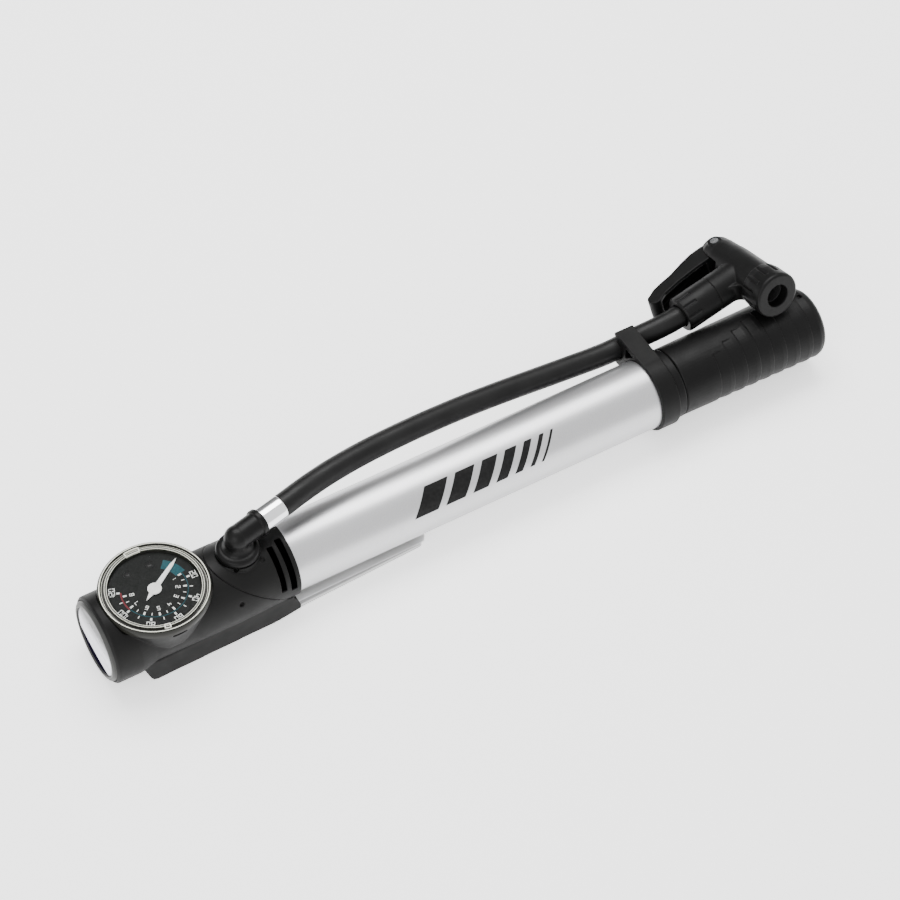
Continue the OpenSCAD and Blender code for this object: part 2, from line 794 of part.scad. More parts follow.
module head_body() {
  bar_front = -cap_face + cap_len;
  corner_r = 3.2;
  color(plastic_black)
  in_head() difference() {
    union() {
      rod_x(-socket_len + gland_len, 0, head_r);
      intersection() {
        turned_valve([
          [0, bar_front], [bar_r, bar_front], [bar_r, 4], [7.2, 12], [6.8, 16], [5.8, 18.6],
          [4, 20.2], [0, 20.6]
        ]);
        linear_extrude(40, center = true) knuckle_outline();
      }
      // Web in the corner between the socket and the cross bar
      linear_extrude(7, center = true) difference() {
        translate([-bar_r - corner_r + 0.5, -head_r - corner_r + 0.5]) square(corner_r + 3);
        translate([-bar_r - corner_r + 0.5, -head_r - corner_r + 0.5]) circle(r = corner_r);
      }
      // Ring around each end of the lever pin
      translate([0, pin_at, 0]) cylinder(h = 2 * cheek_z - 0.2, r = 2.6, center = true);
      // Threaded spigot under the cap
      rod_valve(-cap_face + 4, bar_front + 1, 6.3);
    }
    // Chamber for the rubber and the pusher, air way to the hose
    rod_valve(-cap_face + 3, 7.5, 5.2);
    rod_x(-socket_len, 0, 1.1);
    rod_x(-socket_len + gland_len - 1, -socket_len + gland_len + 3, 3.45);
    // Slot for the lever hub, open on the lever's side and at the end
    translate([-20, pin_at - 7.6, -slot_z]) cube([40, 30, 2 * slot_z]);
    translate([0, pin_at, 0]) cylinder(h = 30, r = lever_pin_r + 0.02, center = true);
  }
}

module chuck_gasket() {
  color(rubber_black)
  in_head() difference() {
    rod_valve(-cap_face + 4, -cap_face + 11, 5.1);
    rod_valve(-cap_face, 20, 3.9);
  }
}

// Screwed cap with short flutes at its back
module chuck_cap() {
  color(plastic_black)
  in_head() difference() {
    translate([0, -cap_face, 0]) turned_valve([
      [0, 0], [cap_d / 2 - 0.9, 0], [cap_d / 2 - 0.25, 0.3], [cap_d / 2, 1], [cap_d / 2, 7],
      [cap_d / 2 - 0.4, cap_len - 0.1], [0, cap_len - 0.1]
    ]);
    rod_valve(-cap_face - 1, 0, valve_hole_d / 2);
    rod_valve(-cap_face + 3.95, 0, 6.35);
    for (k = [0:11]) translate([0, -cap_face + 3.4, 0]) rotate([0, 30 * k, 0])
      translate([0, 0, cap_d / 2 + 0.35]) rotate([-90, 0, 0]) cylinder(h = 9, r = 0.9);
  }
}

module lever_pin() {
  color(steel_grey)
  in_head() translate([0, pin_at, 0]) cylinder(h = 2 * cheek_z, r = lever_pin_r, center = true);
}

// Plunger that the lever's cam drives against the rubber
module lock_pusher() {
  front = -cap_face + 11 + lock_travel + 0.3;
  back = pin_at - hub_r - 0.3;
  color([0.8, 0.8, 0.75])
  in_head() difference() {
    union() {
      rod_valve(front, 7, 5.1);
      rod_valve(6.9, back, 3.6);
    }
    rod_valve(front - 1, front + 4, 2.2);
    rod_x(-20, 20, 2);
  }
}

// Thumb lever: offset cam hub and a curved arm with a channel facing the hose
module lock_lever() {
  color(plastic_black)
  in_head() translate([0, pin_at, 0]) difference() {
    union() {
      translate([hub_offset, 0, 0]) cylinder(h = 2 * hub_z, r = hub_r, center = true);
      linear_extrude(2 * hub_z, center = true) lever_outline(0);
    }
    linear_extrude(2 * hub_z - 3, center = true) lever_outline(1.6);
    cylinder(h = 30, r = lever_pin_r + run, center = true);
  }
}

// Side view of the arm; inset leaves its outer wall and opens the channel towards the hose
module lever_outline(inset) {
  tip = [-31, -4.8];
  outer_edge = [[-9, 4.2], [-14, 2.9], [-20, 1], [-25, 0.2], [-29, -0.8], tip + [-0.6, 2.5]];
  inner_edge = [tip + [1.4, -2.2], [-27, -5.6], [-20, -4.2], [-12, -3.4], [-5, -3.2], [0, -3.8]];
  if (inset == 0) {
    translate(tip) circle(r = 2.6);
    polygon(concat([[hub_offset, hub_r], [-4.5, 4.4]], outer_edge, inner_edge));
  } else polygon(concat(
    [for (p = outer_edge) p + [1.6, -inset]],
    [[tip[0] + 1.6, -12], [-7, -12], [-7, 1.8]]
  ));
}

base_housing();
barrel_socket();
end_cap();
end_badge();
valve_block();
block_seal();
barrel();
collar_clip();
gland_nut();
rod_bushing();
rod_wiper();
gauge_case();
gauge_dial();
gauge_lens();
gauge_socket();
bourdon_tube();
movement_plate();
needle_arbor();
gauge_needle();
sector_gear();
check_valve();
check_spring();
foot_pin();
foot_plate();
piston_rod();
piston();
piston_seal();
piston_screw();
bump_washer();
handle_core();
handle_screw();
handle_grip();
handle_plug();
hose_elbow();
elbow_seal();
elbow_clip();
hose_ferrule();
hose();
hose_barb();
hose_gland();
head_body();
chuck_gasket();
chuck_cap();
lever_pin();
lock_pusher();
lock_lever();
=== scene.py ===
"""Looks of the mini pump: the CAD frame stays as packed, and finer skins ride on its bodies."""
import math

import bmesh
import bpy
from mathutils import Matrix, Vector


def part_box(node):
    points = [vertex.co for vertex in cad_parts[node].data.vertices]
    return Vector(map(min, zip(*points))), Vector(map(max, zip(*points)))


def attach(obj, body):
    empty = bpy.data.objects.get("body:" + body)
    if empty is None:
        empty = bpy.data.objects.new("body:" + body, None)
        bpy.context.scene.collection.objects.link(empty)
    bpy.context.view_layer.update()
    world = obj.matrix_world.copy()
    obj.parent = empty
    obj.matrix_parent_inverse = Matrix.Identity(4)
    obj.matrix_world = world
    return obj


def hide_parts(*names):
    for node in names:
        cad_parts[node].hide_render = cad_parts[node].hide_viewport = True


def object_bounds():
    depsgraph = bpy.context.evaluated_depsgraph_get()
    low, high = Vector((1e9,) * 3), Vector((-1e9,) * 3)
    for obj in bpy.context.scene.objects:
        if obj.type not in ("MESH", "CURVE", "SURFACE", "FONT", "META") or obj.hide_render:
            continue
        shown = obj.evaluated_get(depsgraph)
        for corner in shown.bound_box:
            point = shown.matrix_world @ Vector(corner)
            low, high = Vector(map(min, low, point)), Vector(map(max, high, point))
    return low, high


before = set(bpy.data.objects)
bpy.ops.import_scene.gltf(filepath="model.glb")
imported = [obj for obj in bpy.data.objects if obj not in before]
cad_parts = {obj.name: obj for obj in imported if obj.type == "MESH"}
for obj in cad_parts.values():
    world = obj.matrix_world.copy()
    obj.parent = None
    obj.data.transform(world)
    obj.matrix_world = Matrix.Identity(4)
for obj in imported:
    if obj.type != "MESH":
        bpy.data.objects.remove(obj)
start_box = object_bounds()

MM = 0.001
TAU = 2 * math.pi

# ---------- places taken from the frame ----------

lens_low, lens_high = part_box("gauge_lens")
dial_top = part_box("gauge_dial")[1].z
barrel_low, barrel_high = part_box("barrel")
FLOOR_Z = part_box("base_housing")[0].z
needle_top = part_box("gauge_needle")[1].z
GAUGE = Vector(((lens_low.x + lens_high.x) / 2, 0, 0))
LENS_R = (lens_high.x - lens_low.x) / 2
LENS_TOP = lens_high.z
DIAL_TOP = dial_top
BARREL_R = (barrel_high.z - barrel_low.z) / 2


# ---------- camera ----------

CAMERA_AT = Vector((-0.20057, -0.51934, 0.77238))
CAMERA_AZIMUTH = math.radians(-32.635)
CAMERA_ELEVATION = math.radians(50.772)
CAMERA_ROLL = math.radians(2.233)
CAMERA_LENS = 117.2


def make_camera():
    """The photo's point of view: azimuth 0 looks along +Y."""
    sa, ca = math.sin(CAMERA_AZIMUTH), math.cos(CAMERA_AZIMUTH)
    se, ce = math.sin(CAMERA_ELEVATION), math.cos(CAMERA_ELEVATION)
    back = Vector((sa * ce, -ca * ce, se))
    level = Vector((ca, sa, 0))
    rise = back.cross(level)
    right = math.cos(CAMERA_ROLL) * level + math.sin(CAMERA_ROLL) * rise
    up = back.cross(right)
    data = bpy.data.cameras.new("camera")
    data.lens = CAMERA_LENS
    data.sensor_width = 36
    data.clip_start = 0.01
    data.clip_end = 20
    camera = bpy.data.objects.new("camera", data)
    bpy.context.scene.collection.objects.link(camera)
    camera.matrix_world = Matrix.Translation(CAMERA_AT) @ Matrix((right, up, back)).transposed().to_4x4()
    bpy.context.scene.camera = camera


make_camera()


# ---------- node material helpers ----------

class Tree:
    """A principled material with short ways to add noise, ramps and bumps."""

    def __init__(self, name, **inputs):
        self.material = bpy.data.materials.new(name)
        self.material.use_nodes = True
        self.tree = self.material.node_tree
        self.tree.nodes.clear()
        out = self.tree.nodes.new("ShaderNodeOutputMaterial")
        self.shader = self.tree.nodes.new("ShaderNodeBsdfPrincipled")
        self.link(self.shader.outputs[0], out.inputs[0])
        self.coords = self.tree.nodes.new("ShaderNodeTexCoord").outputs["Object"]
        for key, value in inputs.items():
            self.set(key, value)

    def link(self, a, b):
        self.tree.links.new(a, b)

    def set(self, key, value):
        socket = self.shader.inputs[key.replace("_", " ")]
        if hasattr(value, "is_output"):
            self.link(value, socket)
        elif key == "Base_Color":
            socket.default_value = (*value, 1)
        else:
            socket.default_value = value

    def stretched(self, scale):
        node = self.tree.nodes.new("ShaderNodeMapping")
        node.inputs["Scale"].default_value = scale
        self.link(self.coords, node.inputs["Vector"])
        return node.outputs[0]

    def noise(self, scale, detail=3, roughness=0.55, stretch=None):
        node = self.tree.nodes.new("ShaderNodeTexNoise")
        node.inputs["Scale"].default_value = scale
        node.inputs["Detail"].default_value = detail
        node.inputs["Roughness"].default_value = roughness
        self.link(self.stretched(stretch) if stretch else self.coords, node.inputs["Vector"])
        return node.outputs["Fac"]

    def ramp(self, value, *stops):
        node = self.tree.nodes.new("ShaderNodeValToRGB")
        elements = node.color_ramp.elements
        for i, (place, colour) in enumerate(stops):
            element = elements[i] if i < 2 else elements.new(place)
            element.position = place
            element.color = (*colour, 1) if hasattr(colour, "__len__") else (colour, colour, colour, 1)
        self.link(value, node.inputs[0])
        return node.outputs[0]

    def part(self, axis):
        node = self.tree.nodes.new("ShaderNodeSeparateXYZ")
        self.link(self.coords, node.inputs[0])
        return node.outputs[axis]

    def between(self, value, low, high):
        node = self.tree.nodes.new("ShaderNodeMapRange")
        node.inputs["From Min"].default_value = low
        node.inputs["From Max"].default_value = high
        self.link(value, node.inputs["Value"])
        return node.outputs[0]

    def math(self, operation, a, b=None):
        node = self.tree.nodes.new("ShaderNodeMath")
        node.operation = operation
        for i, value in enumerate((a, b)):
            if value is None:
                continue
            if hasattr(value, "is_output"):
                self.link(value, node.inputs[i])
            else:
                node.inputs[i].default_value = value
        return node.outputs[0]

    def mix(self, share, a, b):
        node = self.tree.nodes.new("ShaderNodeMix")
        node.data_type = "RGBA"
        for socket, value in ((node.inputs["Factor"], share), (node.inputs["A"], a), (node.inputs["B"], b)):
            if hasattr(value, "is_output"):
                self.link(value, socket)
            elif hasattr(value, "__len__"):
                socket.default_value = (*value, 1)
            else:
                socket.default_value = value
        return node.outputs["Result"]

    def bump(self, height, strength, distance):
        node = self.tree.nodes.new("ShaderNodeBump")
        node.inputs["Strength"].default_value = strength
        node.inputs["Distance"].default_value = distance
        self.link(height, node.inputs["Height"])
        self.link(node.outputs[0], self.shader.inputs["Normal"])


PLASTIC_GLOSS = 0.13


def moulded(name, dark, light, rough_low, rough_high, grain=2600, grain_depth=0.00002):
    """Injection-moulded plastic: fine spark grain, faint flow marks, uneven gloss."""
    t = Tree(name, IOR=1.5, Specular_IOR_Level=PLASTIC_GLOSS)
    flow = t.noise(45, 4, stretch=(0.5, 1, 1))
    fine = t.noise(grain, 2)
    t.set("Base_Color", t.ramp(flow, (0.3, dark), (0.75, light)))
    t.set("Roughness", t.ramp(t.noise(160, 4), (0.3, rough_low), (0.7, rough_high)))
    t.bump(fine, 0.35, grain_depth)
    return t.material


def socket_plastic():
    """The base plastic, with painted shadow deep in the socket's ring slots: near-black colour and no gloss
    there.
    """
    t = Tree("socket_plastic", IOR=1.5)
    y, z = t.part(1), t.part(2)
    radius = t.math("SQRT", t.math("ADD", t.math("MULTIPLY", y, y), t.math("MULTIPLY", z, z)))
    depth = t.between(radius, BARREL_R + 0.0004, BARREL_R + 0.0008)
    past_seam = t.between(t.part(0), barrel_low.x + 0.003, barrel_low.x + 0.0035)
    # painted shadow: past the seam and deep in the slots, the colour goes to near black and the gloss to
    # nothing
    shade = t.math("MAXIMUM", depth, t.math("SUBTRACT", 1.0, past_seam))
    flow = t.noise(45, 4, stretch=(0.5, 1, 1))
    black = t.ramp(flow, (0.3, (0.002, 0.002, 0.002)), (0.75, (0.005, 0.005, 0.0048)))
    t.set("Base_Color", t.mix(shade, (0.0003, 0.0003, 0.0003), black))
    t.set("Specular_IOR_Level", t.math("MULTIPLY", shade, PLASTIC_GLOSS))
    t.set("Roughness", t.ramp(t.noise(160, 4), (0.3, 0.42), (0.7, 0.55)))
    t.bump(t.noise(2600, 2), 0.35, 0.00002)
    return t.material


def rubber(name, dark, light, rough=0.6):
    """Matt rubber with dusty patches and extrusion lines along X."""
    t = Tree(name, IOR=1.5, Specular_IOR_Level=0.2)
    dust = t.noise(90, 5)
    lines = t.noise(700, 2, stretch=(0.06, 1, 1))
    t.set("Base_Color", t.ramp(dust, (0.35, dark), (0.8, light)))
    t.set("Roughness", t.ramp(lines, (0.3, rough - 0.08), (0.7, rough + 0.1)))
    t.bump(lines, 0.25, 0.00003)
    return t.material


def metal(name, dark, light, rough_low, rough_high, brush=(0.05, 1, 1), scale=900, depth=0.00001):
    """Bare metal with brushed streaks along one axis and faint handling marks."""
    t = Tree(name, Metallic=1.0)
    streaks = t.noise(scale, 3, stretch=brush)
    marks = t.noise(70, 5)
    t.set("Base_Color", t.ramp(marks, (0.3, dark), (0.75, light)))
    t.set("Roughness", t.ramp(streaks, (0.3, rough_low), (0.7, rough_high)))
    t.bump(streaks, 0.2, depth)
    return t.material


# Half width of the tapered foot plate at X = 0, and how much of it goes per metre along X
PLATE_HALF_WIDTH = 0.01155
PLATE_TAPER = 0.0187


def plate_finish():
    """Pressed aluminium sheet: satin face, a painted highlight along the corner, and painted shade on the
    cut side.
    """
    t = Tree("plate_aluminium", Metallic=1.0)
    half_width = t.math("SUBTRACT", PLATE_HALF_WIDTH, t.math("MULTIPLY", t.part(0), PLATE_TAPER))
    past = t.between(t.math("SUBTRACT", t.math("ABSOLUTE", t.part(1)), half_width), -0.0012, 0.0)
    marks = t.ramp(t.noise(70, 5), (0.3, (0.72, 0.72, 0.71)), (0.75, (0.86, 0.86, 0.85)))
    # painted highlight: a near-white band just inside the plate's edge; painted shade: mid grey on the side
    # face
    painted_corner_highlight = t.ramp(past, (0.25, 0.0), (0.4, 1.0))
    painted_side_shade = t.ramp(past, (0.75, 0.0), (0.85, 1.0))
    t.set("Base_Color", t.mix(painted_side_shade, t.mix(painted_corner_highlight, marks, (0.97, 0.97, 0.97)), (0.50, 0.50, 0.50)))
    t.set("Roughness", t.ramp(t.noise(900, 3, stretch=(0.05, 1, 1)), (0.3, 0.34), (0.7, 0.42)))
    return t.material


def lacquered_silver():
    """Silver lacquer on the tube: metal flake under a satin clear coat, faint drawing lines."""
    t = Tree("silver_lacquer", Metallic=0.9, Coat_Weight=0.15, Coat_Roughness=0.3)
    flake = t.noise(5200, 1)
    cloud = t.noise(38, 4)
    lines = t.noise(1100, 2, stretch=(0.04, 1, 1))
    tone = t.mix(t.ramp(flake, (0.35, 0.0), (0.65, 0.35)), (0.48, 0.48, 0.49), (0.74, 0.74, 0.75))
    t.set("Base_Color", t.mix(t.ramp(cloud, (0.3, 0.0), (0.8, 0.15)), tone, (0.66, 0.66, 0.67)))
    t.set("Roughness", t.ramp(lines, (0.2, 0.34), (0.8, 0.37)))
    t.bump(flake, 0.05, 0.000005)
    return t.material


def printed(name, colour, worn):
    """Printing ink with uneven cover."""
    t = Tree(name, IOR=1.5, Specular_IOR_Level=0.15)
    t.set("Base_Color", t.ramp(t.noise(900, 4), (0.3, worn), (0.6, colour)))
    t.set("Roughness", t.ramp(t.noise(400, 3), (0.3, 0.4), (0.7, 0.55)))
    return t.material


def dial_face():
    """Dark printed card with fine speckle."""
    t = Tree("dial_face", IOR=1.5, Specular_IOR_Level=0.1)
    speckle = t.noise(1500, 4)
    t.set("Base_Color", t.ramp(speckle, (0.35, (0.003, 0.0035, 0.0032)), (0.75, (0.008, 0.009, 0.0085))))
    t.set("Roughness", t.ramp(t.noise(500, 3), (0.3, 0.45), (0.7, 0.6)))
    t.bump(t.noise(3500, 2), 0.2, 0.00001)
    return t.material


# The badge's dark part lies below the line z = BADGE_LINE + BADGE_SLOPE * y
BADGE_LINE = -0.0063
BADGE_SLOPE = 0.24


def badge_finish():
    """Domed badge in two tones: silver above a straight line, near black below it; the silver carries a
    painted reflection that darkens towards the top.
    """
    t = Tree("badge_two_tone", IOR=1.5)
    height = t.part(2)
    line = t.math("SUBTRACT", height, t.math("MULTIPLY", t.part(1), BADGE_SLOPE))
    split = t.between(line, BADGE_LINE - 0.0001, BADGE_LINE + 0.0001)
    # painted reflection: the silver is light low down and turns near black higher up
    painted_reflection_fade = t.between(height, 0.001, 0.008)
    silver = t.mix(painted_reflection_fade, (0.80, 0.80, 0.86), (0.06, 0.06, 0.06))
    cloud = t.ramp(t.noise(300, 4), (0.3, 0.0), (0.8, 0.2))
    t.set("Base_Color", t.mix(split, (0.004, 0.003, 0.009), t.mix(cloud, silver, (0.65, 0.65, 0.70))))
    t.set("Specular_IOR_Level", t.math("MULTIPLY", split, 0.12))
    t.set("Roughness", t.ramp(t.noise(200, 3), (0.3, 0.25), (0.7, 0.35)))
    return t.material


def clear(name, tint, alpha_low, alpha_high, rough=0.08, gloss=0.5):
    """Clear moulded plastic, let through by its alpha, with faint moulding haze."""
    t = Tree(name, IOR=1.49, Specular_IOR_Level=gloss)
    haze = t.noise(120, 4)
    t.set("Base_Color", t.ramp(haze, (0.3, tint), (0.8, tuple(min(1, c * 1.08) for c in tint))))
    t.set("Alpha", t.ramp(haze, (0.3, alpha_low), (0.75, alpha_high)))
    t.set("Roughness", t.ramp(t.noise(400, 2), (0.3, rough), (0.7, rough + 0.06)))
    return t.material


base_plastic = moulded("base_plastic", (0.002, 0.002, 0.002), (0.005, 0.005, 0.0048), 0.42, 0.55)
cap_plastic = moulded("cap_plastic", (0.030, 0.030, 0.030), (0.050, 0.050, 0.048), 0.28, 0.40)
grip_plastic = moulded("grip_plastic", (0.002, 0.002, 0.002), (0.005, 0.005, 0.005), 0.38, 0.50)
head_plastic = moulded("head_plastic", (0.002, 0.002, 0.002), (0.005, 0.005, 0.005), 0.36, 0.50)
elbow_plastic = moulded("elbow_plastic", (0.002, 0.002, 0.002), (0.005, 0.005, 0.005), 0.30, 0.42)
slot_plastic = socket_plastic()
nylon = moulded("grey_nylon", (0.10, 0.10, 0.11), (0.17, 0.17, 0.18), 0.45, 0.6)
hose_rubber = rubber("hose_rubber", (0.0025, 0.0025, 0.0025), (0.007, 0.007, 0.007), 0.42)
seal_rubber = rubber("seal_rubber", (0.012, 0.012, 0.012), (0.03, 0.03, 0.03), 0.65)
silver = lacquered_silver()
plate_metal = plate_finish()
bright = metal("bright_ferrule", (0.86, 0.87, 0.89), (0.96, 0.96, 0.97), 0.06, 0.14, scale=500)
steel = metal("drawn_steel", (0.48, 0.49, 0.50), (0.66, 0.67, 0.69), 0.18, 0.32)
brass = metal("machined_brass", (0.55, 0.40, 0.16), (0.78, 0.60, 0.28), 0.22, 0.36, brush=(1, 1, 0.1))
dial_card = dial_face()
ink_white = printed("ink_white", (0.78, 0.79, 0.76), (0.55, 0.56, 0.54))
ink_cyan = printed("ink_cyan", (0.003, 0.060, 0.075), (0.002, 0.040, 0.052))
ink_red = printed("ink_red", (0.13, 0.012, 0.018), (0.08, 0.008, 0.012))
ink_black = printed("ink_black", (0.003, 0.003, 0.003), (0.008, 0.008, 0.008))
needle_white = printed("needle_lacquer", (0.86, 0.86, 0.84), (0.76, 0.76, 0.74))
badge = badge_finish()
lens_clear = clear("lens_window", (0.020, 0.022, 0.020), 0.04, 0.08, 0.2, 0.02)
lens_rim = clear("lens_rim", (0.040, 0.041, 0.034), 0.96, 1.0, 0.25, 0.2)
lens_skirt = clear("lens_skirt", (0.012, 0.012, 0.010), 1.0, 1.0, 0.3, 0.15)
# painted highlight: a light tint for the thin rings and catch frames on the lens's edges
lens_highlight_tint = clear("lens_highlight_tint", (0.72, 0.72, 0.62), 0.90, 0.97, 0.15)
rivet_black = moulded("rivet_black", (0.006, 0.006, 0.006), (0.014, 0.014, 0.014), 0.3, 0.45)

FINISH = {
    "base_housing": base_plastic, "barrel_socket": slot_plastic, "end_cap": cap_plastic, "end_badge": badge,
    "valve_block": nylon, "block_seal": seal_rubber, "barrel": silver, "collar_clip": base_plastic,
    "gland_nut": grip_plastic, "rod_bushing": nylon, "rod_wiper": seal_rubber, "gauge_case": base_plastic,
    "gauge_dial": dial_card, "gauge_lens": lens_clear, "gauge_socket": brass, "bourdon_tube": brass,
    "movement_plate": brass, "foot_pin": steel, "needle_arbor": steel, "gauge_needle": needle_white,
    "sector_gear": brass, "check_valve": brass, "check_spring": steel, "foot_plate": plate_metal,
    "piston_rod": steel, "piston": nylon, "piston_seal": seal_rubber, "piston_screw": steel,
    "bump_washer": seal_rubber, "handle_core": nylon, "handle_screw": steel, "handle_grip": grip_plastic,
    "handle_plug": grip_plastic, "hose_elbow": elbow_plastic, "elbow_seal": seal_rubber,
    "elbow_clip": steel,
    "hose_ferrule": bright, "hose": hose_rubber, "hose_barb": brass, "hose_gland": head_plastic,
    "head_body": head_plastic, "chuck_gasket": seal_rubber, "chuck_cap": head_plastic, "lever_pin": steel,
    "lock_pusher": nylon, "lock_lever": head_plastic,
}


def dress(obj, material):
    obj.data.materials.clear()
    obj.data.materials.append(material)


for node, material in FINISH.items():
    dress(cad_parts[node], material)


# ---------- mesh helpers ----------

def add_piece(name, data, material, body, nodes=()):
    """A new piece that rides on a CAD body and may stand for CAD nodes."""
    obj = bpy.data.objects.new(name, data)
    bpy.context.scene.collection.objects.link(obj)
    dress(obj, material)
    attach(obj, body)
    if nodes:
        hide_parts(*nodes)
    return obj


def to_mesh(bm, name, sharp_degrees=35):
    """Closes a bmesh: merged points, outward normals, smooth faces with sharp edges kept."""
    bmesh.ops.remove_doubles(bm, verts=bm.verts, dist=1e-8)
    bmesh.ops.recalc_face_normals(bm, faces=bm.faces)
    mesh = bpy.data.meshes.new(name)
    bm.to_mesh(mesh)
    bm.free()
    mesh.shade_smooth()
    mesh.set_sharp_from_angle(angle=math.radians(sharp_degrees))
    return mesh


def revolve(bm, outline, centre, start=0.0, end=360.0, steps=96):
    """Turns a closed [radius, height] outline in millimetres about an upright axis."""
    full = end - start >= 360
    count = steps if full else steps + 1
    rings = []
    for i in range(count):
        angle = math.radians(start + (end - start) * i / steps)
        across = Vector((math.cos(angle), math.sin(angle), 0))
        rings.append([bm.verts.new(centre + across * r * MM + Vector((0, 0, z * MM))) for r, z in outline])
    for i in range(steps):
        near, far = rings[i], rings[(i + 1) % count]
        for k in range(len(outline)):
            m = (k + 1) % len(outline)
            bm.faces.new((near[k], far[k], far[m], near[m]))
    if not full:
        bm.faces.new(rings[0])
        bm.faces.new(tuple(reversed(rings[-1])))


def slab(bm, corners, low, high):
    """Pushes a flat outline of (x, y) points up from one height to another, all in metres."""
    floor = [bm.verts.new((x, y, low)) for x, y in corners]
    top = [bm.verts.new((x, y, high)) for x, y in corners]
    bm.faces.new(tuple(reversed(floor)))
    bm.faces.new(top)
    for k in range(len(corners)):
        m = (k + 1) % len(corners)
        bm.faces.new((floor[k], floor[m], top[m], top[k]))


def box_outline(r0, r1, z0, z1):
    return [(r0, z0), (r1, z0), (r1, z1), (r0, z1)]


BORE_GAP = 0.05 * MM
BORE_DIP = 0.4 * MM
BARREL_SLEEVES = ("base_housing", "barrel_socket", "collar_clip")


def clear_barrel(mesh):
    """Pushes the points of a bore that dip under the tube's surface out to just above it."""
    floor = BARREL_R + BORE_GAP
    for vertex in mesh.vertices:
        radius = math.hypot(vertex.co.y, vertex.co.z)
        if barrel_low.x < vertex.co.x < barrel_high.x and BARREL_R - BORE_DIP < radius < floor:
            vertex.co.y *= floor / radius
            vertex.co.z *= floor / radius


def soften(node, voxel, rounds, body, keep=0.5):
    """A copy of a CAD node with its edges rounded the way a mould leaves them."""
    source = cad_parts[node]
    obj = add_piece(node + "_skin", source.data.copy(), FINISH[node], body, (node,))
    remesh = obj.modifiers.new("remesh", "REMESH")
    remesh.mode = "VOXEL"
    remesh.voxel_size = voxel * MM
    smooth = obj.modifiers.new("smooth", "SMOOTH")
    smooth.factor = 0.5
    smooth.iterations = rounds
    thin = obj.modifiers.new("thin", "DECIMATE")
    thin.ratio = keep
    bpy.context.view_layer.update()
    shaped = obj.evaluated_get(bpy.context.evaluated_depsgraph_get())
    mesh = bpy.data.meshes.new_from_object(shaped)
    obj.modifiers.clear()
    obj.data = mesh
    if node in BARREL_SLEEVES:
        clear_barrel(mesh)
    mesh.shade_smooth()
    dress(obj, FINISH[node])
    return obj


# ---------- moulded skins ----------

SKINS = [
    # node, voxel in mm, rounds of smoothing, body, slot, share of faces kept
    ("base_housing", 0.25, 5, "base", "black_plastic", 0.3),
    ("barrel_socket", 0.15, 3, "base", "black_plastic", 0.5),
    ("collar_clip", 0.13, 4, "base", "black_plastic", 0.7),
    ("end_cap", 0.15, 3, "base", "cap_plastic", 0.3),
    ("hose_elbow", 0.16, 7, "hose", "black_plastic", 0.5),
    ("hose_ferrule", 0.12, 2, "hose", "bright_metal", 0.4),
    ("hose_gland", 0.16, 3, "hose", "black_plastic", 0.4),
    ("head_body", 0.2, 10, "hose", "black_plastic", 0.5),
    ("chuck_cap", 0.16, 3, "hose", "black_plastic", 0.4),
    ("lock_lever", 0.2, 14, "lever", "black_plastic", 0.6),
    ("handle_grip", 0.16, 1, "plunger", "black_plastic", 0.5),
    ("foot_plate", 0.16, 3, "foot", "satin_aluminium", 0.3),
]
for node, voxel, rounds, body, slot, keep in SKINS:
    soften(node, voxel, rounds, body, keep)


# ---------- valve spring ----------

VALVE_LIFT = 0.0008
SPRING_GAP = 0.0002


def make_spring():
    """The valve's spring at its shortest, so that it stays clear of the elbow when the valve lifts."""
    low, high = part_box("check_spring")
    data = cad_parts["check_spring"].data.copy()
    share = 1 - (VALVE_LIFT + SPRING_GAP) / (high.z - low.z)
    for vertex in data.vertices:
        vertex.co.z = low.z + (vertex.co.z - low.z) * share
    add_piece("check_spring_short", data, steel, "poppet", ("check_spring",))


make_spring()


# ---------- gauge lens ----------

LENS_R_MM = LENS_R / MM
LENS_TOP_MM = LENS_TOP / MM
RIM_WIDTH = 3.3
WINDOW_R = LENS_R_MM - RIM_WIDTH
SKIRT_LOW = lens_low.z / MM
# Middle and half width, in degrees, of the two catches that break the inner rim
CATCHES = [(90, 11), (258, 4)]


def make_window():
    """Clear window of the lens: a thin disc with a rolled edge."""
    bm = bmesh.new()
    top = LENS_TOP_MM - 0.25
    under = top - 0.45
    outline = [(0, under), (WINDOW_R, under), (WINDOW_R, top - 0.15), (WINDOW_R - 0.3, top), (0, top)]
    revolve(bm, outline, GAUGE)
    add_piece("lens_window", to_mesh(bm, "lens_window"), lens_clear, "base", ("gauge_lens",))


def make_rims():
    """Dark skirt with a raised outer rim, and an inner rim broken by the catches."""
    bm = bmesh.new()
    r, top, low = LENS_R_MM, LENS_TOP_MM, SKIRT_LOW
    revolve(bm, [
        (WINDOW_R + 0.05, low), (r - 0.6, low), (r - 0.1, low + 0.5), (r, low + 1.4), (r, top - 0.7),
        (r - 0.25, top - 0.2), (r - 0.7, top), (r - 1.2, top - 0.15), (r - 1.45, top - 0.9),
        (WINDOW_R + 0.05, top - 0.9)
    ], GAUGE, steps=128)
    add_piece("lens_skirt", to_mesh(bm, "lens_skirt"), lens_skirt, "base")
    bm = bmesh.new()
    inner = [(WINDOW_R + 0.1, top - 0.88), (WINDOW_R + 1.0, top - 0.88), (WINDOW_R + 0.95, top - 0.2),
             (WINDOW_R + 0.75, top - 0.05), (WINDOW_R + 0.3, top - 0.05), (WINDOW_R + 0.1, top - 0.2)]
    (first, first_half), (second, second_half) = CATCHES
    revolve(bm, inner, GAUGE, first + first_half, second - second_half, 64)
    revolve(bm, inner, GAUGE, second + second_half, first - first_half + 360, 72)
    add_piece("lens_inner_rim", to_mesh(bm, "lens_inner_rim"), lens_rim, "base")


